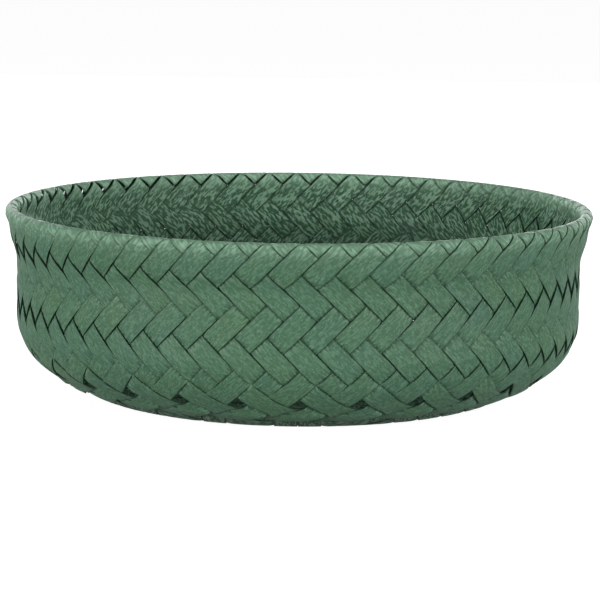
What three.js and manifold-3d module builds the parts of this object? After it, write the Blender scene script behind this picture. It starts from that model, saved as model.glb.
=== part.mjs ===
// A round, low basket plaited on the bias from flat plastic straps. Millimetres, +Z up.
// The origin is the middle of the flat underside, at the level that the basket stands on.
//
// Each strap climbs the wall leaning right, folds over the rim from inside to outside, and comes
// down leaning left. Two lattice numbers place every point of the plait: u counts across the
// straps that climb, and v across those that come down. Their difference is the row, counted
// down from the fold at the rim, and half their sum is the turn round the basket.
import * as THREE from "three";
import { mergeVertices } from "three/addons/utils/BufferGeometryUtils.js";
import Module from "manifold-3d";

// Driving dimensions of the basket
const HEIGHT = 94;
const RIM_RADIUS = 146.6; // middle of the folded rim
const WALL_RADIUS = 142.2; // middle of the wall's two layers
const FLARE_HEIGHT = 26; // the top stretch, where the wall leans out to the rim
const CORNER_HEIGHT = 42; // the wall is upright down to here
const BASE_RADIUS = 102; // the flat underside
const FLARE_EASE = 0.4; // how long the wall keeps each direction in the flare, as a share of it
const CORNER_EASE_DOWN = 0.58; // how long it stays upright into the corner, as a share of its height
const CORNER_EASE_IN = 0.55; // how long it runs flat out of the underside, as a share of its width

// Driving dimensions of the straps
const STRAP_COUNT = 58;
const STRAP_THICKNESS = 0.8;
const STRAP_GAP = 1; // between straps that lie side by side on the wall
const LAYER_GAP = 0.45; // between an upper and a lower strap where they cross
const FOLD_RADIUS = 1.8; // middle of a strap, where it bends over the rim
const CREST_ANGLE = THREE.MathUtils.degToRad(32); // each side of the fold's top is flat to here
const LAST_ROW = 9.4; // where the straps end, above the shoulder of the corner band

// Driving dimensions of the floor, and of the corner band round it, whose lip reaches up inside
// the straps
const BASE_THICKNESS = 2;
const LIP_THICKNESS = 1.2;
const LIP_ROWS = 1; // how far the lip reaches above the strap ends
const LIP_FOOT_ROWS = 1; // how far below the shoulder the lip has grown to the full thickness
const SEAT_GAP = 0.45; // between the straps, the corner band and the floor
const SLOT_WIDTH = 7.5;
const SLOT_HEIGHT = 3.4;
const SLOT_DROP_ROWS = 0.55; // from the shoulder down to the middle of the slots

const STRAP_COLOURS = [0x4f7a5c, 0x587f58, 0x4a7764]; // the straps vary, yellowish to bluish
const BASE_COLOUR = 0x46705a;

// Fineness of the model
const SECTION_SAMPLES = 500;
const CORNER_STEPS_OUT = 3;
const CORNER_STEPS_IN = 2;
const MERGE_DISTANCE = 1e-4;

// Values that follow from them
const STRAP_TURN = (2 * Math.PI) / STRAP_COUNT;
const PITCH = WALL_RADIUS * STRAP_TURN * Math.SQRT1_2; // square across, from one strap to the next
const COVER = 1 - STRAP_GAP / PITCH; // share of its pitch that a strap covers
const LAYER_OFFSET = (STRAP_THICKNESS + LAYER_GAP) / 2;
const ROW_HEIGHT = (WALL_RADIUS * STRAP_TURN) / 2; // on the wall
const FOLD_LEVEL = HEIGHT - (FOLD_RADIUS + STRAP_THICKNESS / 2) * Math.cos(CREST_ANGLE);
const FOLD_START = FOLD_LEVEL - STRAP_THICKNESS; // where the plait begins, just below the bend
const BOTTOM_LEVEL = BASE_THICKNESS / 2;
const SHOULDER_ROW = LAST_ROW + COVER / 2 + SEAT_GAP / ROW_HEIGHT;

const wasm = await Module();
wasm.setup();

// The basket's section, from the fold at the rim to the edge of the flat underside.
function makeSection() {
  const wallTop = HEIGHT - FLARE_HEIGHT;
  const section = new THREE.Path();
  section.moveTo(RIM_RADIUS, FOLD_START);
  section.bezierCurveTo(
    RIM_RADIUS,
    FOLD_START - FLARE_HEIGHT * FLARE_EASE,
    WALL_RADIUS,
    wallTop + FLARE_HEIGHT * FLARE_EASE,
    WALL_RADIUS,
    wallTop,
  );
  section.lineTo(WALL_RADIUS, CORNER_HEIGHT);
  section.bezierCurveTo(
    WALL_RADIUS,
    CORNER_HEIGHT * (1 - CORNER_EASE_DOWN),
    BASE_RADIUS + (WALL_RADIUS - BASE_RADIUS) * CORNER_EASE_IN,
    BOTTOM_LEVEL,
    BASE_RADIUS,
    BOTTOM_LEVEL,
  );
  return section;
}

// Samples of the section with their row. The straps cross at right angles, so a row is as tall
// as half the distance from one strap to the next, measured round the basket at that radius.
function sampleRows(section, steps) {
  const step = section.getLength() / steps;
  const found = [];
  let row = 0;
  for (let k = 0; k <= steps; k += 1) {
    const at = section.getPointAt(k / steps);
    const along = section.getTangentAt(k / steps);
    found.push({ row, r: at.x, z: at.y, outR: -along.y, outZ: along.x });
    row += step / ((at.x * STRAP_TURN) / 2);
  }
  return found;
}

const samples = sampleRows(makeSection(), SECTION_SAMPLES);

// The middle of the wall at a row, with the direction square out of it.
function wallAt(row) {
  const found = samples.findIndex((sample) => sample.row >= row);
  const k = found < 0 ? samples.length - 1 : Math.max(found, 1);
  const [a, b] = [samples[k - 1], samples[k]];
  const share = (row - a.row) / (b.row - a.row);
  const mix = (name) => a[name] + (b[name] - a[name]) * share;
  return { r: mix("r"), z: mix("z"), outR: mix("outR"), outZ: mix("outZ") };
}

// A point of the section, lifted square off the middle of the wall.
function liftedFromWall(row, lift) {
  const wall = wallAt(row);
  return new THREE.Vector2(wall.r + wall.outR * lift, wall.z + wall.outZ * lift);
}

// Radius, height and turn to a point. Turn 0 is at the front, on -Y.
function spot(r, z, turn) {
  return new THREE.Vector3(r * Math.sin(turn), -r * Math.cos(turn), z);
}

// The two layers spread apart in the first row, to meet the ends of the bend over the rim.
function layerLift(row) {
  return LAYER_OFFSET + (FOLD_RADIUS - LAYER_OFFSET) * Math.max(0, 1 - row);
}

// 1 where the climbing strap lies outside, and -1 where it lies inside: two rows of each.
function climbingLayer(row) {
  return Math.floor((row + 1) / 2) % 2 === 1 ? 1 : -1;
}

// A point on a strap's edge, with the direction of the face that is on top in the fold.
function edgePoint(u, v, layer, faceSign) {
  const row = u - v;
  const wall = wallAt(row);
  const turn = ((u + v) / 2) * STRAP_TURN;
  const at = liftedFromWall(row, layer * layerLift(row));
  return {
    at: spot(at.x, at.y, turn),
    face: spot(wall.outR, wall.outZ, turn).multiplyScalar(faceSign),
  };
}

// Below this row the wall curves in, and a strap bends in the middle of each float too.
const CORNER_ROW = samples.find((sample) => sample.z < CORNER_HEIGHT).row;

// Where a strap is lofted through, in rows below the fold, with the climbing strap's layer.
// It changes layer in the gap between two straps that it crosses, and nowhere else.
function makeStations() {
  const halfGap = (1 - COVER) / 2;
  const list = [];
  for (let change = 0.5; change < LAST_ROW; change += 2) {
    list.push({ row: change - halfGap, layer: climbingLayer(change - 0.5) });
    list.push({ row: change + halfGap, layer: climbingLayer(change + 0.5) });
    const middle = change + 1;
    if (middle > CORNER_ROW && middle < LAST_ROW) {
      list.push({ row: middle, layer: climbingLayer(middle) });
    }
  }
  list.push({ row: LAST_ROW, layer: climbingLayer(Math.floor(LAST_ROW)) });
  return list;
}

// The cross lines of one strap, each a pair of edge points, from one end over the rim to the other.
function strapLines() {
  const edges = [-COVER / 2, COVER / 2];
  const stations = makeStations();
  const climbing = stations.map(({ row, layer }) => edges.map((u) => edgePoint(u, -row, layer, -1)));
  const fallingEdge = (row, v, layer) => edgePoint(row, v, -layer, 1);
  const falling = stations.map(({ row, layer }) => edges.map((v) => fallingEdge(row, v, layer)));
  const bend = [-Math.PI / 2, -CREST_ANGLE, CREST_ANGLE, Math.PI / 2].map((angle) => {
    const [r, z] = [FOLD_RADIUS * Math.sin(angle), FOLD_RADIUS * Math.cos(angle)];
    return edges.map((side) => ({
      at: spot(RIM_RADIUS + r, FOLD_LEVEL + z, side * STRAP_TURN),
      face: spot(Math.sin(angle), Math.cos(angle), side * STRAP_TURN),
    }));
  });
  return [...climbing.reverse(), ...bend, ...falling];
}

// A closed flat tube of the strap's thickness through the cross lines.
function loftStrap(lines) {
  const half = STRAP_THICKNESS / 2;
  const corner = (edge, side) => edge.at.clone().addScaledVector(edge.face, side * half);
  const points = lines.flatMap(([first, second]) => [
    corner(first, -1),
    corner(second, -1),
    corner(second, 1),
    corner(first, 1),
  ]);
  const faces = [];
  for (let k = 0; k + 1 < lines.length; k += 1) {
    for (let side = 0; side < 4; side += 1) {
      const [a, b] = [4 * k + side, 4 * k + ((side + 1) % 4)];
      faces.push(a, b, b + 4, a, b + 4, a + 4);
    }
  }
  const end = 4 * (lines.length - 1);
  faces.push(0, 3, 2, 0, 2, 1, end, end + 1, end + 2, end, end + 2, end + 3);
  const geometry = new THREE.BufferGeometry().setFromPoints(points);
  geometry.setIndex(faces);
  geometry.computeVertexNormals();
  return geometry;
}

// A closed mesh as a solid that can be cut.
function solidOf(geometry) {
  const bare = geometry.clone();
  bare.deleteAttribute("normal");
  bare.deleteAttribute("uv");
  const merged = mergeVertices(bare, MERGE_DISTANCE);
  return new wasm.Manifold(
    new wasm.Mesh({
      numProp: 3,
      vertProperties: new Float32Array(merged.attributes.position.array),
      triVerts: new Uint32Array(merged.index.array),
    }),
  );
}

function geometryOf(solid) {
  const mesh = solid.getMesh();
  const geometry = new THREE.BufferGeometry();
  geometry.setAttribute("position", new THREE.BufferAttribute(mesh.vertProperties, 3));
  geometry.setIndex(new THREE.BufferAttribute(mesh.triVerts, 1));
  geometry.computeVertexNormals();
  return geometry;
}

// The corner band: a curved side flush with the straps, and a thinner lip inside them.
function makeCornerProfile() {
  const half = BASE_THICKNESS / 2;
  const lipOut = -(LAYER_OFFSET + STRAP_THICKNESS / 2 + SEAT_GAP);
  const lastRow = samples[samples.length - 1].row;
  const rows = (from, to, steps) =>
    Array.from({ length: steps + 1 }, (_, k) => from + ((to - from) * k) / steps);
  const outerRows = rows(lastRow, SHOULDER_ROW, CORNER_STEPS_OUT);
  const lipRows = [SHOULDER_ROW, LAST_ROW - LIP_ROWS];
  const innerRows = rows(SHOULDER_ROW + LIP_FOOT_ROWS, lastRow, CORNER_STEPS_IN);
  const outline = [
    ...outerRows.map((row) => liftedFromWall(row, half)),
    ...lipRows.map((row) => liftedFromWall(row, lipOut)),
    ...lipRows.reverse().map((row) => liftedFromWall(row, lipOut - LIP_THICKNESS)),
    ...innerRows.map((row) => liftedFromWall(row, -half)),
  ];
  return [...outline, outline[0].clone()];
}

// Slots go through the side of the corner band, one for each pair of straps.
function makeSlotCutter(turn) {
  const wall = wallAt(SHOULDER_ROW + SLOT_DROP_ROWS);
  const cutter = new THREE.BoxGeometry(SLOT_WIDTH, WALL_RADIUS - BASE_RADIUS, SLOT_HEIGHT);
  cutter.rotateX(-Math.atan2(wall.outZ, wall.outR));
  cutter.translate(0, -wall.r, wall.z);
  cutter.rotateZ(turn);
  return solidOf(cutter);
}

function makeCorner() {
  const band = new THREE.LatheGeometry(makeCornerProfile(), STRAP_COUNT).rotateX(Math.PI / 2);
  let corner = solidOf(band);
  for (let k = 0; k < STRAP_COUNT; k += 2) {
    corner = corner.subtract(makeSlotCutter((k + 0.5) * STRAP_TURN));
  }
  return geometryOf(corner);
}

// The floor: a flat disc inside the corner band, which it shares its underside with.
function makeFloor() {
  const radius = BASE_RADIUS - SEAT_GAP;
  const disc = new THREE.CylinderGeometry(radius, radius, BASE_THICKNESS, STRAP_COUNT);
  return disc.rotateX(Math.PI / 2).translate(0, 0, BASE_THICKNESS / 2);
}

function satinPlastic(color) {
  return new THREE.MeshStandardMaterial({ color, roughness: 0.55, metalness: 0 });
}

function addPiece(name, geometry, color) {
  const piece = new THREE.Mesh(geometry, satinPlastic(color));
  piece.name = name;
  basket.add(piece);
  return piece;
}

const basket = new THREE.Group();
const strapShape = loftStrap(strapLines());
for (let k = 0; k < STRAP_COUNT; k += 1) {
  const name = `strap_${String(k + 1).padStart(2, "0")}`;
  const strap = addPiece(name, strapShape, STRAP_COLOURS[k % STRAP_COLOURS.length]);
  strap.rotation.z = k * STRAP_TURN;
}
addPiece("corner", makeCorner(), BASE_COLOUR);
addPiece("floor", makeFloor(), BASE_COLOUR);

export default basket;
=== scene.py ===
"""Dresses the round plaited basket: its woven straps, its plaited floor, and the stage."""

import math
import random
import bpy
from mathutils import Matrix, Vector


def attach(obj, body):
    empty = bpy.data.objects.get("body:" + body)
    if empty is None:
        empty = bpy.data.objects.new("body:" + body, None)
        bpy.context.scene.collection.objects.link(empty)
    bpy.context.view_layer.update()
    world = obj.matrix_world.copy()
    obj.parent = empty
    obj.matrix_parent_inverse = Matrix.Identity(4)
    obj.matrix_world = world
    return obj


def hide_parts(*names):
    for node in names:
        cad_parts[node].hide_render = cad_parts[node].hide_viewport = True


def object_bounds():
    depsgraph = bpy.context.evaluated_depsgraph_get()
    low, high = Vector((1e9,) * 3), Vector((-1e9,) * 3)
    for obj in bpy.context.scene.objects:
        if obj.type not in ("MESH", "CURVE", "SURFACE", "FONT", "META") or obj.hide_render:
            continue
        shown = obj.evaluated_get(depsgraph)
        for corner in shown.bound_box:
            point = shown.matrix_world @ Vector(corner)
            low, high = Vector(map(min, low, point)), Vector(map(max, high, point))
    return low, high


bl_info = {
    "name": "Round Plaited Basket",
    "version": (1, 0, 0),
    "blender": (4, 5, 0),
    "location": "View3D > Sidebar > Basket",
    "description": "Weaves a low round basket on the bias from flat satin strap",
    "category": "Add Mesh",
}

import bmesh
import bpy
import numpy as np
from mathutils import Euler, Matrix, Vector, noise

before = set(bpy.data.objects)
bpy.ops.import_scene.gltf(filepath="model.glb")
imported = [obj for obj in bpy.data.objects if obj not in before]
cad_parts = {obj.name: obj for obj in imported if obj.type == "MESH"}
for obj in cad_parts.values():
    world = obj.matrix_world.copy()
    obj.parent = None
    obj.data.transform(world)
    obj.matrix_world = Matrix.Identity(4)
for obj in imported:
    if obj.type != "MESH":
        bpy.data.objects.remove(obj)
CAD_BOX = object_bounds()
BASKET_HEIGHT = CAD_BOX[1][2]

MM = 0.001
STRAP_COUNT = 58
TURN = 2 * math.pi / STRAP_COUNT
EDGE_ROUNDING = 0.2 * MM
STRAP_UV = "strap_lengths"
STRAP_TINT = "strap_tint"
STRAP_INSIDE = "strap_inside"
STRAP_RIM = "strap_rim"
# Where a strap's edges are painted dark: painted shade for the shaded gaps between the straps.
PAINTED_EDGE_SHADE = "strap_crease"
STRAP_UV_WIDTH = 10.5 * MM


class BasketSizes(bpy.types.PropertyGroup):
    """The sizes of the basket that a user would change"""

    rim_radius: bpy.props.FloatProperty(
        name="Rim radius",
        description="Middle of the folded rim",
        default=147.6 * MM,
        unit="LENGTH",
        precision=4,
    )
    wall_radius: bpy.props.FloatProperty(
        name="Wall radius",
        description="Middle of the two layers of the upright wall",
        default=143.5 * MM,
        unit="LENGTH",
        precision=4,
    )
    flare_height: bpy.props.FloatProperty(
        name="Flare height",
        description="The top stretch, where the wall leans out to the rim",
        default=27 * MM,
        unit="LENGTH",
        precision=4,
    )
    corner_height: bpy.props.FloatProperty(
        name="Corner height",
        description="The wall is upright down to here",
        default=38 * MM,
        unit="LENGTH",
        precision=4,
    )
    floor_radius: bpy.props.FloatProperty(
        name="Floor radius",
        description="The flat underside",
        default=98 * MM,
        unit="LENGTH",
        precision=4,
    )
    fold_radius: bpy.props.FloatProperty(
        name="Fold radius",
        description="How roundly a strap folds over the rim",
        default=2.7 * MM,
        unit="LENGTH",
        precision=4,
    )
    strap_width: bpy.props.FloatProperty(
        name="Strap width",
        description="Width of one flat strap",
        default=11.1 * MM,
        unit="LENGTH",
        precision=4,
    )
    strap_thickness: bpy.props.FloatProperty(
        name="Strap thickness",
        description="Thickness of one flat strap",
        default=0.7 * MM,
        unit="LENGTH",
        precision=5,
    )
    strap_cover: bpy.props.FloatProperty(
        name="Strap cover",
        description="Share of its place in the plait that a strap covers",
        default=0.985,
        min=0.5,
        max=1.0,
    )
    crossing_lift: bpy.props.FloatProperty(
        name="Crossing lift",
        description="How far a strap lies from the middle of the wall where it crosses another",
        default=0.72 * MM,
        unit="LENGTH",
        precision=5,
    )
    float_crown: bpy.props.FloatProperty(
        name="Float crown",
        description="How far a strap bows out in the middle of each float",
        default=0.42 * MM,
        unit="LENGTH",
        precision=5,
    )
    floor_plait_radius: bpy.props.FloatProperty(
        name="Floor plait radius",
        description="Outer edge of the plaited floor, hidden between the sweeping straps",
        default=123.5 * MM,
        unit="LENGTH",
        precision=4,
    )


class BasketColours(bpy.types.PropertyGroup):
    """The colours of the straps and of the stage"""

    strap_green: bpy.props.FloatVectorProperty(
        name="Strap green",
        description="Main colour of the straps",
        subtype="COLOR",
        size=3,
        min=0,
        max=1,
        default=(0.085, 0.188, 0.112),
    )
    strap_yellowish: bpy.props.FloatVectorProperty(
        name="Yellowish green",
        description="The warmest straps",
        subtype="COLOR",
        size=3,
        min=0,
        max=1,
        default=(0.1, 0.203, 0.1),
    )
    strap_bluish: bpy.props.FloatVectorProperty(
        name="Bluish green",
        description="The coolest straps",
        subtype="COLOR",
        size=3,
        min=0,
        max=1,
        default=(0.075, 0.178, 0.127),
    )
    strap_dash: bpy.props.FloatVectorProperty(
        name="Pale fibres",
        description="The short pale dashes of the strap's surface",
        subtype="COLOR",
        size=3,
        min=0,
        max=1,
        default=(0.27, 0.45, 0.315),
    )
    strap_trough: bpy.props.FloatVectorProperty(
        name="Troughs",
        description="Between the pale dashes",
        subtype="COLOR",
        size=3,
        min=0,
        max=1,
        default=(0.031, 0.086, 0.045),
    )
    # Painted shade: the dark green painted along the straps' edges for the shaded gaps between them.
    # It also darkens the floor's straps.
    painted_shade_green: bpy.props.FloatVectorProperty(
        name="Strap edges",
        description="The dark edges of the straps",
        subtype="COLOR",
        size=3,
        min=0,
        max=1,
        default=(0.006, 0.022, 0.011),
    )
    # Painted shade: how far the floor's straps are darkened all over, for the shade inside and under
    # the basket.
    floor_painted_shade: bpy.props.FloatProperty(
        name="Floor shade",
        description="How dark the straps of the floor are beside those of the wall",
        default=0.3,
        min=0,
        max=1,
    )
    stage_pale: bpy.props.FloatVectorProperty(
        name="Stage",
        description="The pale stage under the basket",
        subtype="COLOR",
        size=3,
        min=0,
        max=1,
        default=(0.25, 0.25, 0.25),
    )


def smooth(t):
    """0 below 0, 1 above 1, and a smooth step between."""
    t = min(max(t, 0.0), 1.0)
    return t * t * (3 - 2 * t)


def between(value, limits):
    """0 before the first limit, 1 after the second, and a smooth step between."""
    return smooth((value - limits[0]) / (limits[1] - limits[0]))


def bezier(a, b, c, d, steps):
    """Points of a cubic curve, without its first one."""
    found = []
    for k in range(1, steps + 1):
        t = k / steps
        found.append(a * (1 - t) ** 3 + b * 3 * t * (1 - t) ** 2 + c * 3 * t * t * (1 - t) + d * t**3)
    return found


class Wall:
    """The middle surface of the plait, from the crest of the rim down to the flat underside.

    A place on it is a length, measured down its section from the crest, and a turn round the
    basket, counted in straps. Rows count the crossings of the plait down from the crest.
    """

    FLARE_EASE_TOP = 0.7
    FLARE_EASE_LOW = 0.3
    FLARE_STEPS = 60
    CORNER_EASE_DOWN = 0.75
    CORNER_EASE_IN = 0.2
    CORNER_STEPS = 120
    UNDERSIDE_LEVEL = 1.0 * MM
    SQUEEZE_ROWS = (9.2, 15.8)
    LAST_ROW = 18.5
    FOOT_SWAY = 3 * MM
    SWAY_HEIGHT = 20 * MM
    STEP = 0.02

    def __init__(self, sizes):
        self.fold_radius = sizes.fold_radius
        self.fold_level = BASKET_HEIGHT - sizes.strap_thickness / 2 - sizes.fold_radius
        self.fold_length = sizes.fold_radius * math.pi / 2
        self.make_section(sizes)
        self.make_rows()

    def make_section(self, sizes):
        """The section as points, with their lengths down it and their directions outwards."""
        rim = Vector((sizes.rim_radius, self.fold_level))
        wall_top = Vector((sizes.wall_radius, BASKET_HEIGHT - sizes.flare_height))
        wall_low = Vector((sizes.wall_radius, sizes.corner_height))
        under = Vector((sizes.floor_radius, self.UNDERSIDE_LEVEL))
        down = Vector((0, -1))
        flare = rim.y - wall_top.y
        points = [rim]
        points += bezier(
            rim,
            rim + down * flare * self.FLARE_EASE_TOP,
            wall_top - down * flare * self.FLARE_EASE_LOW,
            wall_top,
            self.FLARE_STEPS,
        )
        points.append(wall_low)
        points += bezier(
            wall_low,
            wall_low + down * wall_low.y * self.CORNER_EASE_DOWN,
            under + Vector((1, 0)) * (wall_low.x - under.x) * self.CORNER_EASE_IN,
            under,
            self.CORNER_STEPS,
        )
        points.append(Vector((0.0, self.UNDERSIDE_LEVEL)))
        points = np.array([tuple(p) for p in points])
        steps = np.hypot(*np.diff(points, axis=0).T)
        lengths = np.concatenate([[0], np.cumsum(steps)]) + self.fold_length
        self.section_lengths = lengths
        self.section_points = points
        tangents = np.gradient(points, lengths, axis=0)
        tangents /= np.hypot(*tangents.T)[:, None]
        self.section_outs = np.stack([-tangents[:, 1], tangents[:, 0]], 1)

    def make_rows(self):
        """How far down the section each row of crossings lies."""
        rows = [0.0]
        lengths = [0.0]
        while rows[-1] < self.LAST_ROW:
            height = self.row_height_at(rows[-1], lengths[-1])
            rows.append(rows[-1] + self.STEP)
            lengths.append(lengths[-1] + height * self.STEP)
        self.rows = np.array(rows)
        self.row_lengths = np.array(lengths)

    def row_height_at(self, row, length):
        """The straps cross at right angles down to the corner, and lean over below it."""
        return self.radius(length) * TURN / 2 * (1 - between(row, self.SQUEEZE_ROWS))

    def radius(self, length):
        return float(np.interp(length, self.section_lengths, self.section_points[:, 0]))

    def length_of_row(self, row):
        return float(np.interp(row, self.rows, self.row_lengths))

    def row_of_length(self, length):
        return float(np.interp(length, self.row_lengths, self.rows))

    def level(self, length):
        if length < self.fold_length:
            return self.fold_level + self.fold_radius * math.cos(length / self.fold_radius)
        return float(np.interp(length, self.section_lengths, self.section_points[:, 1]))

    def out(self, length):
        """Which way is outwards: away from the axis, and up."""
        r = np.interp(length, self.section_lengths, self.section_outs[:, 0])
        z = np.interp(length, self.section_lengths, self.section_outs[:, 1])
        size = math.hypot(r, z)
        return r / size, z / size

    def spot(self, length, turn, lift):
        """A point of the basket: turn 0 is at the front, on -Y."""
        out_r, out_z = self.out(length)
        r = self.radius(length) + out_r * lift
        z = self.level(length) + out_z * lift
        angle = turn * TURN
        r += self.sway(angle, z)
        return Vector((r * math.sin(angle), -r * math.cos(angle), z))

    def sway(self, angle, level):
        """The hand-made foot isn't quite round: it reaches a little further front and back."""
        return self.FOOT_SWAY * math.cos(2 * angle) * (1 - smooth(level / self.SWAY_HEIGHT))


class Plait:
    """How the straps pass over and under each other, in rows below the crest.

    The climbing part of a strap is the one inside the fold, and the falling part the one that
    comes down outside. Below the corner the straps run on in pairs, doubled, and sweep round
    into the edge of the floor like the blades of an iris.
    """

    CHANGES = (0.5, 2.5, 4.5, 6.5, 8.5)
    PAIR_DIVE_ROW = 10.5
    HIDDEN_DIVE_ROW = 9.5
    PETAL_ROW_CLIMBING = 11.8
    PETAL_ROW_FALLING = 12.3
    CHANGE_WIDTH = 0.3
    RIM_CHANGE_WIDTH = 0.14
    RIM_CHANGE_LATER = 0.05
    PAIR_ROWS = (9.3, 10.5)
    PAIR_LIFT = 0.85 * MM
    SWEEP_ROWS = (11.9, 13.2)
    SWEEP_LIFT = 1.9 * MM
    STACK_STEP = 0.4 * MM
    MERGE_CLIMBING = (9.4, 10.6)
    MERGE_FALLING = (8.9, 10.2)
    STACK_CLIMBING = (8.8, 9.3)
    STACK_FALLING = (8.6, 9.1)
    TUCK_START = 13.0
    TUCK_PER_ROW = 0.7 * MM
    TAIL_ROW = 16.2
    RIM_BLEND = (0.5, 1.35)
    CONTACT_GAP = 0.06 * MM
    CONTACT_BLEND = 0.1
    LAST_CONTACT_ROW = 10
    # Down to these rows the rim is paler: wear, and a painted highlight.
    RIM_WEAR_AND_HIGHLIGHT_ROWS = (0.3, 1.6)
    MERGED_FLAT = (9.2, 9.5)
    MERGED_APART = (10.4, 10.8)
    HIDDEN_NARROWING = 0.2
    LEAST_HEIGHT = 1e-6 * MM

    def __init__(self, sizes, wall):
        self.sizes = sizes
        self.wall = wall

    def layer(self, row, climbing, hidden):
        """-1 where the climbing part lies inside, 1 where it lies outside, smooth between.

        At the first change, under the rim, the climbing part moves a little early and the falling
        part a little late. Below the last full row, the strap that hides in its pair moves first.
        """
        early = hidden == climbing
        petal = self.PETAL_ROW_CLIMBING if climbing else self.PETAL_ROW_FALLING
        last = (self.HIDDEN_DIVE_ROW if early else self.PAIR_DIVE_ROW, petal)
        value = -1.0
        for k, change in enumerate(self.CHANGES + last):
            width = self.CHANGE_WIDTH
            if k == 0:
                width = self.RIM_CHANGE_WIDTH
                change += -self.RIM_CHANGE_LATER if climbing else self.RIM_CHANGE_LATER
            step = smooth((row - change) / (2 * width) + 0.5)
            value += (2.0 if k % 2 == 0 else -2.0) * step
        return value

    def lift_size(self, row, length):
        """How far the two layers lie from the middle of the wall."""
        wall = self.wall
        if length < wall.fold_length:
            return wall.fold_radius * math.sin(length / wall.fold_radius)
        flat = self.sizes.crossing_lift
        rim = (wall.fold_radius - flat) * (1 - between(row, self.RIM_BLEND))
        pair = (self.PAIR_LIFT - flat) * between(row, self.PAIR_ROWS)
        sweep = (self.SWEEP_LIFT - self.PAIR_LIFT) * between(row, self.SWEEP_ROWS)
        return flat + rim + pair + sweep

    def crown(self, row):
        """A float bows out between the straps that it dives under."""
        if row < self.CHANGES[0] or row > self.CHANGES[-1]:
            return 0.0
        middle = math.floor((row - 0.5) / 2) * 2 + 1.5
        return self.sizes.float_crown * (1 - smooth(abs(row - middle)))

    def contact(self, own_row, other_row, climbing, hidden, amount):
        """Crossing straps push each other apart where they would be in one place."""
        crossing = round(own_row)
        if crossing < 1 or crossing > self.LAST_CONTACT_ROW:
            return 0.0
        other_hidden = hidden if crossing % 2 == 1 else not hidden
        over = math.copysign(1.0, self.layer(crossing, climbing, hidden))
        layers = self.layer(own_row, climbing, hidden)
        layers += self.layer(other_row, not climbing, other_hidden)
        missing = self.sizes.strap_thickness + self.CONTACT_GAP - over * amount * layers
        if missing <= 0:
            return 0.0
        fade = smooth((0.5 - abs(own_row - crossing)) / self.CONTACT_BLEND)
        return over * missing / 2 * fade

    def width_at(self, row, unit, merge, hidden):
        """A strap fills its place in the plait, and is narrower where it hides in its pair."""
        full = self.sizes.strap_width
        width = min(self.sizes.strap_cover * unit * math.sqrt(0.5), full)
        merged = full * (1 - self.HIDDEN_NARROWING) if hidden else full
        return width + (merged - width) * between(row, merge)

    def lift_at(self, layer, own, here, length, climbing, hidden):
        """How far the climbing part lies outwards, and the falling part inwards, at a crossing."""
        amount = self.lift_size(here, length)
        lift = amount * layer
        if length > self.wall.fold_length:
            other = round(own) + here - own
            lift += self.contact(own, other, climbing, hidden, amount)
            lift += layer * self.crown(own)
        return lift

    def strap_point(self, strap, along, across, jitter):
        """A point of the middle of a strap: along in rows from its fold, across from -0.5 to 0.5.

        At the fold a strap's edge reaches over the crest before its middle does, so what counts
        there is the side of the crest that the point itself is on.
        """
        wall = self.wall
        climbing = along < 0
        row = abs(along)
        side = 1.0 if climbing else -1.0
        merge = self.MERGE_CLIMBING if climbing else self.MERGE_FALLING
        hidden = (strap % 2 == 0) == climbing
        shift = between(row, merge) if hidden else 0.0
        length = wall.length_of_row(row + side * shift)
        unit = wall.radius(length) * TURN
        height = max(wall.row_height_at(row + side * shift, length), self.LEAST_HEIGHT)
        slope = math.hypot(unit / 2, height)
        width = self.width_at(row, unit, merge, hidden)
        reach = across * width * (1 + jitter["width"]) + jitter["side"](row)
        signed = side * length + reach * unit / 2 / slope
        turn = strap + along / 2 + shift / 2 + reach * height / slope / unit
        here_climbing = signed > 0
        length = abs(signed)
        here = wall.row_of_length(length)
        if climbing == here_climbing:
            centre = strap + shift
            own = centre - (turn - here / 2) if climbing else (turn + here / 2) - centre
        else:
            own = -row
        sign = 1.0 if here_climbing else -1.0
        layer = self.layer(own, here_climbing, hidden)
        lift = sign * self.lift_at(layer, own, here, length, here_climbing, hidden)
        stacking = self.STACK_CLIMBING if climbing else self.STACK_FALLING
        lift += (-0.5 if hidden else 0.5) * self.STACK_STEP * between(row, stacking)
        lift -= sign * self.TUCK_PER_ROW * max(0.0, row - self.TUCK_START)
        lift += jitter["lift"](along)
        # The rim mask carries wear and a painted highlight. The edge mask says where painted shade
        # lies along the edges.
        looks = {
            STRAP_INSIDE: 0.5 - 0.5 * sign * layer,
            STRAP_RIM: 1 - between(here, self.RIM_WEAR_AND_HIGHLIGHT_ROWS),
            PAINTED_EDGE_SHADE: 1 - between(row, self.MERGED_FLAT) + between(row, self.MERGED_APART),
        }
        return wall.spot(length, turn, lift), looks


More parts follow.
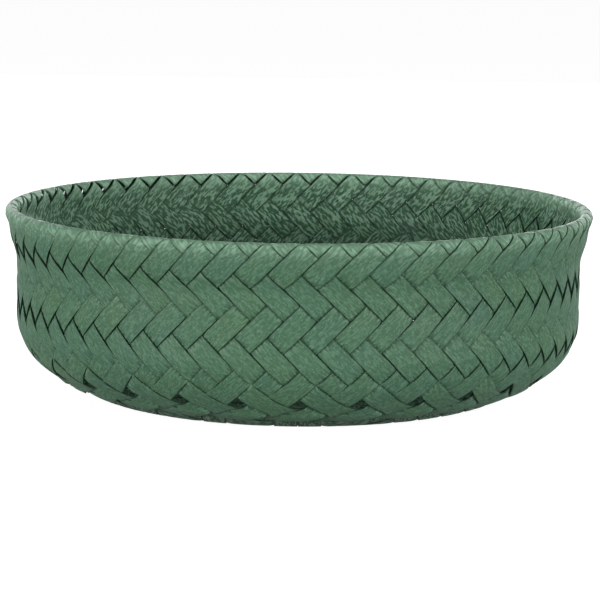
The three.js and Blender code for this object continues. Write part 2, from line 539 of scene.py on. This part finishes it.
class FloorPlait:
    """The flat plait of the floor: straps both ways, two over and two under.

    Towards its edge it rises, and it ends hidden between the straps that sweep round it.
    """

    PITCH_SHARE = 1.035
    FLAT_RADIUS = 108 * MM
    RISEN_WITHIN = 2 * MM
    LIFT = 0.42 * MM
    CHANGE_WIDTH = 0.28

    def __init__(self, sizes, wall):
        self.wall = wall
        self.pitch = sizes.strap_width * self.PITCH_SHARE
        self.radius = sizes.floor_plait_radius
        self.count = int(self.radius / self.pitch)

    def spot(self, side, along, lengthwise, index):
        """A point of the strap that lies index pitches from the middle."""
        place = along / self.pitch
        crossed = round(place)
        value = self.over(lengthwise, index, crossed)
        ahead = self.over(lengthwise, index, crossed + (1 if place > crossed else -1))
        share = smooth((abs(place - crossed) - 0.5) / (2 * self.CHANGE_WIDTH) + 0.5)
        lift = self.LIFT * (value + (ahead - value) * share)
        x, y = (side, along) if lengthwise else (along, side)
        r = math.hypot(x, y)
        inner = r - self.wall.sway(math.atan2(x, -y), 0.0) * smooth(r / self.FLAT_RADIUS)
        return Vector((x, y, self.level(inner) + lift))

    def over(self, lengthwise, index, crossed):
        """1 where a strap passes over the one it crosses, -1 where it passes under."""
        i, j = (index, crossed) if lengthwise else (crossed, index)
        sign = 1.0 if (i - j) % 4 in (0, 1) else -1.0
        return sign if lengthwise else -sign

    def level(self, r):
        """Flat to the foot's edge, then up to its hidden end between the sweeping straps."""
        points = self.wall.section_points[::-1]
        wall_level = float(np.interp(r, points[:, 0], points[:, 1]))
        rise = between(r, (self.FLAT_RADIUS, self.radius - self.RISEN_WITHIN))
        return Wall.UNDERSIDE_LEVEL + (wall_level - Wall.UNDERSIDE_LEVEL) * rise


class Socket:
    """A shader socket that takes part in Python arithmetic by adding Math nodes."""

    def __init__(self, shader, output):
        self.shader = shader
        self.output = output

    def _math(self, operation, *values):
        return self.shader.node("ShaderNodeMath", {"operation": operation}, *values)

    def __add__(self, other):
        return self._math("ADD", self, other)

    def __radd__(self, other):
        return self._math("ADD", other, self)

    def __sub__(self, other):
        return self._math("SUBTRACT", self, other)

    def __rsub__(self, other):
        return self._math("SUBTRACT", other, self)

    def __mul__(self, other):
        return self._math("MULTIPLY", self, other)

    def __rmul__(self, other):
        return self._math("MULTIPLY", other, self)


class Shader:
    """Builds the nodes of one material."""

    def __init__(self, name):
        self.material = bpy.data.materials.new(name)
        self.material.use_nodes = True
        self.tree = self.material.node_tree
        self.tree.nodes.clear()
        self.target = self.tree.nodes.new("ShaderNodeOutputMaterial")

    def node(self, kind, settings, *values, output=0, **named):
        """Adds a node with its settings, then its inputs in order or by name."""
        made = self.tree.nodes.new(kind)
        for key, value in settings.items():
            setattr(made, key, value)
        for slot, value in list(enumerate(values)) + list(named.items()):
            key = slot.replace("_", " ") if isinstance(slot, str) else slot
            self.plug(made.inputs[key], value)
        return Socket(self, made.outputs[output])

    def plug(self, target, value):
        if isinstance(value, Socket):
            self.tree.links.new(value.output, target)
        else:
            target.default_value = value

    def attribute(self, name):
        return self.node("ShaderNodeAttribute", {"attribute_name": name}, output="Fac")

    def parts(self, vector):
        split = self.node("ShaderNodeSeparateXYZ", {}, vector)
        outputs = split.output.node.outputs
        return [Socket(self, outputs[axis]) for axis in "XYZ"]

    def grain(self, lengths, scales, seed, detail, roughness):
        """Noise with so many cells to the metre along a strap and across it."""
        along, across = (length * scale for length, scale in zip(lengths, scales))
        return self.node(
            "ShaderNodeTexNoise",
            {},
            Vector=self.node("ShaderNodeCombineXYZ", {}, along, across, seed),
            Scale=1.0,
            Detail=detail,
            Roughness=roughness,
        )

    def step(self, value, low, high):
        """0 where value is below low, 1 above high, and smooth between."""
        return self.node(
            "ShaderNodeMapRange",
            {"interpolation_type": "SMOOTHSTEP"},
            Value=value,
            From_Min=low,
            From_Max=high,
        )

    def clamp(self, value):
        return self.node("ShaderNodeClamp", {}, value)

    def absolute(self, value):
        return self.node("ShaderNodeMath", {"operation": "ABSOLUTE"}, value)

    def mix(self, share, a, b):
        mixed = self.node("ShaderNodeMix", {"data_type": "RGBA"})
        made = mixed.output.node
        self.plug(made.inputs["Factor"], share)
        for key, value in (("A", a), ("B", b)):
            socket = next(s for s in made.inputs if s.name == key and s.type == "RGBA")
            self.plug(socket, value if isinstance(value, Socket) else (*value, 1.0))
        return Socket(self, next(s for s in made.outputs if s.type == "RGBA"))

    def finish(self, surface):
        self.tree.links.new(surface.output, self.target.inputs["Surface"])
        return self.material


class StrapSurface:
    """The patterns of the strap's surface, drawn along it from its lengths in metres.

    A scale is in noise cells to the metre, along the strap and across it.
    """

    DASH_SCALE = (320.0, 950.0)
    FLECK_SCALE = (800.0, 1500.0)
    CLOUD_SCALE = (30.0, 60.0)
    PATCH_SCALE = (70.0, 120.0)
    CREPE_SCALE = (900.0, 900.0)
    SEED_SPREAD = 37.0
    OUTSIDE_STRENGTH = 0.22
    HUE_SHARE = 0.6
    OUTSIDE_TROUGH = 0.17
    # Inside the basket the dark between the dashes is deeper, partly as painted shade.
    INSIDE_TROUGH_AND_SHADE = 0.65
    CREPE_TROUGH = 0.3
    FLECK_SHARE = 0.4
    # The painted shade along the edges begins at the first of these half widths and is full at the
    # second.
    EDGE = (5.0 * MM, 5.45 * MM)
    EDGE_FRAY = 0.4 * MM
    EDGE_SHARE = 0.85
    RIM_EDGE_LOSS = 0.6

    def __init__(self, shader):
        self.shader = shader
        uv = shader.node("ShaderNodeUVMap", {"uv_map": STRAP_UV})
        along, self.across, _ = shader.parts(uv)
        self.tint = shader.attribute(STRAP_TINT)
        self.inside = shader.attribute(STRAP_INSIDE)
        self.rim = shader.attribute(STRAP_RIM)
        seed = self.tint * self.SEED_SPREAD
        lengths = (along, self.across)
        dash_grain = shader.grain(lengths, self.DASH_SCALE, seed, 1.0, 0.4)
        self.fleck = shader.grain(lengths, self.FLECK_SCALE, seed + 5.0, 2.0, 0.6)
        self.clouds = shader.grain(lengths, self.CLOUD_SCALE, seed + 21.0, 1.0, 0.5)
        self.patches = shader.grain(lengths, self.PATCH_SCALE, seed + 9.0, 2.0, 0.5)
        self.crepe = shader.grain(lengths, self.CREPE_SCALE, seed + 13.0, 3.0, 0.65)
        self.dashes = shader.step(dash_grain, 0.45, 0.62)
        inner = shader.clamp(self.inside + self.rim)
        self.strength = self.OUTSIDE_STRENGTH + (1 - self.OUTSIDE_STRENGTH) * inner

    def colour(self, colours, shade):
        """The strap's green, its dark trough colour (partly painted shade inside the basket), its pale
        fibres (with a painted highlight on the rim) and painted shade along its edges and, for the
        floor, all over.
        """
        shader = self.shader
        base = self.green(colours)
        base = shader.mix(self.troughs_and_inside_shade(), base, colours.strap_trough)
        base = shader.mix(self.fibres(), base, colours.strap_dash)
        base = shader.mix(self.edges(), base, colours.painted_shade_green)
        # shade darkens the whole strap towards the painted-shade green, as painted shade.
        return shader.mix(shade, base, colours.painted_shade_green)

    def green(self, colours):
        """Each strap has its own green, which drifts a little warmer and cooler along it."""
        shader = self.shader
        hue = self.tint * 0.3 + self.clouds * 0.7
        warmer = shader.step(hue, 0.5, 0.8) * self.HUE_SHARE
        cooler = shader.step(hue, 0.5, 0.2) * self.HUE_SHARE
        base = shader.mix(warmer, colours.strap_green, colours.strap_yellowish)
        return shader.mix(cooler, base, colours.strap_bluish)

    def troughs_and_inside_shade(self):
        """Dark between the fibres, most of all inside the basket, where the extra dark is partly
        painted shade.
        """
        depth = self.OUTSIDE_TROUGH + self.INSIDE_TROUGH_AND_SHADE * self.inside
        crepe = self.shader.step(self.crepe, 0.62, 0.3) * self.CREPE_TROUGH
        return self.shader.clamp((1.0 - self.dashes) * depth + crepe)

    def fibres(self):
        """Pale dashes that come and go in patches, fine flecks, and the crest of the rim, pale from
        wear and from a painted highlight, which is stronger on its inner side.
        """
        dashes = self.dashes * self.strength * (0.1 + 0.8 * self.patches)
        flecks = self.shader.step(self.fleck, 0.52, 0.75) * self.FLECK_SHARE
        # The rim's paleness is wear plus a painted highlight, with more of the highlight on the inner
        # side.
        wear_and_highlight = self.rim * (0.35 + 0.25 * self.inside)
        return self.shader.clamp(dashes + flecks + wear_and_highlight)

    def edges(self):
        """Painted shade along both edges, for the shaded gaps between the straps: less on the rim, and
        none where two straps run together.
        """
        shader = self.shader
        frayed = shader.absolute(self.across) + self.crepe * self.EDGE_FRAY
        shade_mask = shader.attribute(PAINTED_EDGE_SHADE) * (self.EDGE_SHARE - self.RIM_EDGE_LOSS * self.rim)
        return shader.step(frayed, *self.EDGE) * shade_mask

    def relief(self):
        """The fibres, flecks and crepe stand up a little."""
        height = self.dashes * self.strength * 0.7 + self.fleck * 0.35 + self.crepe * 0.35
        return self.shader.node("ShaderNodeBump", {}, Strength=0.5, Distance=0.2 * MM, Height=height)


def make_strap_material(colours, name, shade=0.0):
    """Satin strap: its own tint, short pale dashes that stand up along it, painted shade along its
    edges and inside the basket, and a painted highlight with the wear on the rim. shade adds painted
    shade all over.
    """
    shader = Shader(name)
    strap = StrapSurface(shader)
    surface = shader.node(
        "ShaderNodeBsdfPrincipled",
        {},
        Base_Color=strap.colour(colours, shade),
        Roughness=0.52 + 0.2 * strap.crepe - 0.08 * strap.dashes,
        Normal=strap.relief(),
        IOR=1.46,
        Specular_IOR_Level=0.25,
    )
    return shader.finish(surface)


def new_bands():
    """An empty mesh for bands, with the layers that the strap's material reads."""
    bands = bmesh.new()
    bands.loops.layers.uv.new(STRAP_UV)
    for name in (STRAP_TINT, STRAP_INSIDE, STRAP_RIM, PAINTED_EDGE_SHADE):
        bands.verts.layers.float.new(name)
    return bands


def add_band(bands, stations, across_steps, tint, place):
    """Adds a flat band through stations: a grid whose points are then put in place.

    place takes a station and a share across from -0.5 to 0.5. It gives the point, the length
    along and across the band there, and what the material reads there, by layer name.
    """
    last = len(stations) - 1
    grid = bmesh.ops.create_grid(bands, x_segments=last, y_segments=across_steps, size=0.5)
    floats = bands.verts.layers.float
    lengths = {}
    for vert in grid["verts"]:
        station = stations[round((vert.co.x + 0.5) * last)]
        vert.co, lengths[vert], looks = place(station, vert.co.y)
        for name, value in {STRAP_TINT: tint, **looks}.items():
            vert[floats[name]] = value
    uv_layer = bands.loops.layers.uv[STRAP_UV]
    for vert, uv in lengths.items():
        for loop in vert.link_loops:
            loop[uv_layer].uv = uv


def bands_to_mesh(bands, name):
    bmesh.ops.recalc_face_normals(bands, faces=bands.faces)
    mesh = bpy.data.meshes.new(name)
    bands.to_mesh(mesh)
    bands.free()
    return mesh


def finish_band(obj, thickness):
    """Gives a flat band its thickness and its softly rounded edges."""
    solid = obj.modifiers.new("thickness", "SOLIDIFY")
    solid.thickness = thickness
    solid.offset = 0.0
    bevel = obj.modifiers.new("rounded edges", "BEVEL")
    bevel.width = EDGE_ROUNDING
    bevel.segments = 2
    bevel.limit_method = "ANGLE"
    bevel.angle_limit = math.radians(50)


def add_piece(name, mesh, material):
    obj = bpy.data.objects.new(name, mesh)
    bpy.context.scene.collection.objects.link(obj)
    mesh.materials.append(material)
    for polygon in mesh.polygons:
        polygon.use_smooth = True
    return obj


def make_wander(rng, size, reach):
    """A smooth, seeded wander of the given size, changing over reach."""
    seed = rng.uniform(0, 1000)
    return lambda along: size * noise.noise(Vector((along / reach, seed, 0.5)))


class BASKET_OT_straps(bpy.types.Operator):
    """Weave the straps that climb, fold over the rim, come down and sweep under the floor"""

    bl_idname = "basket.straps"
    bl_label = "Weave the Straps"

    FOLD_STEPS = 14
    ROW_STEPS = 8
    ACROSS_STEPS = 6
    FIRST_SEED = 100
    WIDTH_JITTER = (-0.012, 0.006)
    WANDER = 0.12 * MM
    SIDE_WANDER_ROWS = 3.0
    LIFT_WANDER_ROWS = 1.7

    def execute(self, context):
        sizes = context.scene.basket_sizes
        plait = Plait(sizes, Wall(sizes))
        material = make_strap_material(context.scene.basket_colours, "strap_satin")
        stations = self.find_stations()
        for k in range(STRAP_COUNT):
            self.weave_strap(plait, stations, k, material, sizes)
        return {"FINISHED"}

    def find_stations(self):
        """Where a strap gets its cross lines, in rows from the fold: closer where it bends."""
        rows = [0.0]
        while rows[-1] < Plait.TAIL_ROW:
            rows.append(rows[-1] + 1 / (self.FOLD_STEPS if rows[-1] < 1 else self.ROW_STEPS))
        return [-row for row in reversed(rows[1:])] + rows

    def weave_strap(self, plait, stations, k, material, sizes):
        rng = random.Random(self.FIRST_SEED + k)
        jitter = {
            "width": rng.uniform(*self.WIDTH_JITTER),
            "side": make_wander(rng, self.WANDER, self.SIDE_WANDER_ROWS),
            "lift": make_wander(rng, self.WANDER, self.LIFT_WANDER_ROWS),
        }
        row_length = sizes.wall_radius * TURN / math.sqrt(2)

        def place(along, across):
            point, looks = plait.strap_point(k, along, across, jitter)
            return point, (along * row_length, across * STRAP_UV_WIDTH), looks

        name = f"strap_{k + 1:02d}"
        bands = new_bands()
        add_band(bands, stations, self.ACROSS_STEPS, rng.random(), place)
        piece = add_piece(f"woven_{name}", bands_to_mesh(bands, f"woven_{name}"), material)
        finish_band(piece, sizes.strap_thickness)
        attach(piece, "root")
        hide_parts(name)


class BASKET_OT_floor(bpy.types.Operator):
    """Plait the flat floor, whose straps end between those that sweep round its edge"""

    bl_idname = "basket.floor"
    bl_label = "Plait the Floor"

    STEPS_PER_CELL = 6
    LEAST_STEPS = 8
    ACROSS_STEPS = 4
    LENGTHWISE_SEED = 500
    CROSSWISE_SEED = 600
    WANDER = 0.15 * MM
    WANDER_REACH = 20 * MM
    PATTERN_SHIFT = 0.3

    def execute(self, context):
        sizes = context.scene.basket_sizes
        plait = FloorPlait(sizes, Wall(sizes))
        colours = context.scene.basket_colours
        # The floor's straps are darkened all over, as painted shade.
        material = make_strap_material(colours, "floor_strap_satin", colours.floor_painted_shade)
        for lengthwise, name in ((True, "floor_plait_lengthwise"), (False, "floor_plait_crosswise")):
            bands = new_bands()
            for index in range(-plait.count, plait.count + 1):
                self.plait_strap(bands, plait, lengthwise, index, sizes.strap_width)
            piece = add_piece(name, bands_to_mesh(bands, name), material)
            finish_band(piece, sizes.strap_thickness)
            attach(piece, "root")
            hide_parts("floor", "corner")
        return {"FINISHED"}

    def plait_strap(self, bands, plait, lengthwise, index, width):
        first_seed = self.LENGTHWISE_SEED if lengthwise else self.CROSSWISE_SEED
        rng = random.Random(first_seed + index)
        offset = index * plait.pitch
        half = math.sqrt(plait.radius**2 - offset**2)
        steps = max(self.LEAST_STEPS, int(2 * half / plait.pitch * self.STEPS_PER_CELL))
        stations = [-half + 2 * half * k / steps for k in range(steps + 1)]
        wander = make_wander(rng, self.WANDER, self.WANDER_REACH)

        def place(along, across):
            side = offset + across * width + wander(along)
            point = plait.spot(side, along, lengthwise, index)
            # The floor counts as inside, so it gets the deeper dark between the dashes (partly painted
            # shade) and painted shade along its edges.
            looks = {STRAP_INSIDE: 1.0, PAINTED_EDGE_SHADE: 1.0}
            return point, (along + self.PATTERN_SHIFT * index, across * STRAP_UV_WIDTH), looks

        add_band(bands, stations, self.ACROSS_STEPS, rng.random(), place)


class BASKET_OT_stage(bpy.types.Operator):
    """Set the pale floor, the soft studio light and the camera"""

    bl_idname = "basket.stage"
    bl_label = "Set the Stage"

    CAMERA_PLACE = Vector((0.001, -1.445, 0.2725))
    CAMERA_AZIMUTH = math.radians(2.6)
    CAMERA_PITCH = math.radians(8.98)
    CAMERA_ROLL = math.radians(0.68)
    CAMERA_LENS = 169.4
    SENSOR_WIDTH = 36
    CLIP_START = 0.05
    STAGE_HALF = 6.0
    STAGE_GLOW = 0.94
    MIRRORED_SHARE = 0.4
    WORLD_STRENGTH = 0.09
    SIDE_LIGHT_SIZE = (1.4, 0.6)
    BACK_LIGHT_SIZE = (3.4, 0.3)
    TOP_LIGHT_SIZE = (1.6, 1.0)
    LIGHT_AIM = Vector((0, 0, 0.05))

    def execute(self, context):
        self.add_camera(context)
        self.add_stage(context)
        self.add_lights(context)
        context.scene.view_settings.view_transform = "Standard"
        return {"FINISHED"}

    def add_camera(self, context):
        data = bpy.data.cameras.new("camera")
        data.lens = self.CAMERA_LENS
        data.sensor_width = self.SENSOR_WIDTH
        data.sensor_fit = "HORIZONTAL"
        data.clip_start = self.CLIP_START
        camera = bpy.data.objects.new("camera", data)
        tilt = Euler((math.pi / 2 - self.CAMERA_PITCH, 0, 0)).to_matrix().to_4x4()
        roll = Matrix.Rotation(self.CAMERA_ROLL, 4, "Z")
        around = Matrix.Rotation(self.CAMERA_AZIMUTH, 4, "Z")
        camera.matrix_world = around @ Matrix.Translation(self.CAMERA_PLACE) @ tilt @ roll
        context.scene.collection.objects.link(camera)
        context.scene.camera = camera

    def add_stage(self, context):
        plane = bmesh.new()
        bmesh.ops.create_grid(plane, x_segments=1, y_segments=1, size=self.STAGE_HALF)
        mesh = bpy.data.meshes.new("stage")
        plane.to_mesh(mesh)
        plane.free()
        stage = add_piece("stage", mesh, self.make_stage_material(context))

    def make_stage_material(self, context):
        """Pale, and white to the camera and through clear things, and in part to what mirrors it."""
        shader = Shader("stage_pale")
        rays = shader.node("ShaderNodeLightPath", {}).output.node.outputs
        camera, glossy, clear = (
            Socket(shader, rays[f"Is {kind} Ray"]) for kind in ("Camera", "Glossy", "Transmission")
        )
        surface = shader.node(
            "ShaderNodeBsdfPrincipled",
            {},
            Base_Color=(*context.scene.basket_colours.stage_pale, 1),
            Roughness=0.9,
            Emission_Color=shader.clamp(camera + glossy * self.MIRRORED_SHARE + clear),
            Emission_Strength=self.STAGE_GLOW,
        )
        return shader.finish(surface)

    def add_lights(self, context):
        world = bpy.data.worlds.new("studio")
        world.use_nodes = True
        background = world.node_tree.nodes["Background"]
        background.inputs["Color"].default_value = (1, 1, 1, 1)
        background.inputs["Strength"].default_value = self.WORLD_STRENGTH
        context.scene.world = world
        self.add_area(context, "left_light", Vector((-1.7, -1.5, 0.4)), self.SIDE_LIGHT_SIZE, power=36)
        self.add_area(context, "right_light", Vector((1.8, -1.3, 0.4)), self.SIDE_LIGHT_SIZE, power=33)
        self.add_area(context, "back_light", Vector((0.0, 1.9, 0.5)), self.BACK_LIGHT_SIZE, power=46)
        self.add_area(context, "top_light", Vector((0.0, -0.3, 2.0)), self.TOP_LIGHT_SIZE, power=5)

    def add_area(self, context, name, place, size, power):
        data = bpy.data.lights.new(name, "AREA")
        data.shape = "RECTANGLE"
        data.size, data.size_y = size
        data.energy = power
        light = bpy.data.objects.new(name, data)
        aim = (self.LIGHT_AIM - place).to_track_quat("-Z", "Y")
        light.matrix_world = Matrix.Translation(place) @ aim.to_matrix().to_4x4()
        context.scene.collection.objects.link(light)


class BASKET_PT_panel(bpy.types.Panel):
    """Lists the basket's operators, sizes and colours"""

    bl_label = "Round Basket"
    bl_idname = "BASKET_PT_panel"
    bl_space_type = "VIEW_3D"
    bl_region_type = "UI"
    bl_category = "Basket"

    def draw(self, context):
        layout = self.layout
        for operator in OPERATORS:
            layout.operator(operator.bl_idname)
        for group in (context.scene.basket_sizes, context.scene.basket_colours):
            for key in group.bl_rna.properties.keys():
                if key not in ("rna_type", "name"):
                    layout.prop(group, key)


OPERATORS = (BASKET_OT_stage, BASKET_OT_straps, BASKET_OT_floor)
CLASSES = (BasketSizes, BasketColours, *OPERATORS, BASKET_PT_panel)


def register():
    for cls in CLASSES:
        bpy.utils.register_class(cls)
    bpy.types.Scene.basket_sizes = bpy.props.PointerProperty(type=BasketSizes)
    bpy.types.Scene.basket_colours = bpy.props.PointerProperty(type=BasketColours)


def unregister():
    del bpy.types.Scene.basket_colours
    del bpy.types.Scene.basket_sizes
    for cls in reversed(CLASSES):
        bpy.utils.unregister_class(cls)


def main():
    register()
    bpy.ops.basket.stage()
    bpy.ops.basket.straps()
    bpy.ops.basket.floor()


if __name__ == "__main__":
    main()
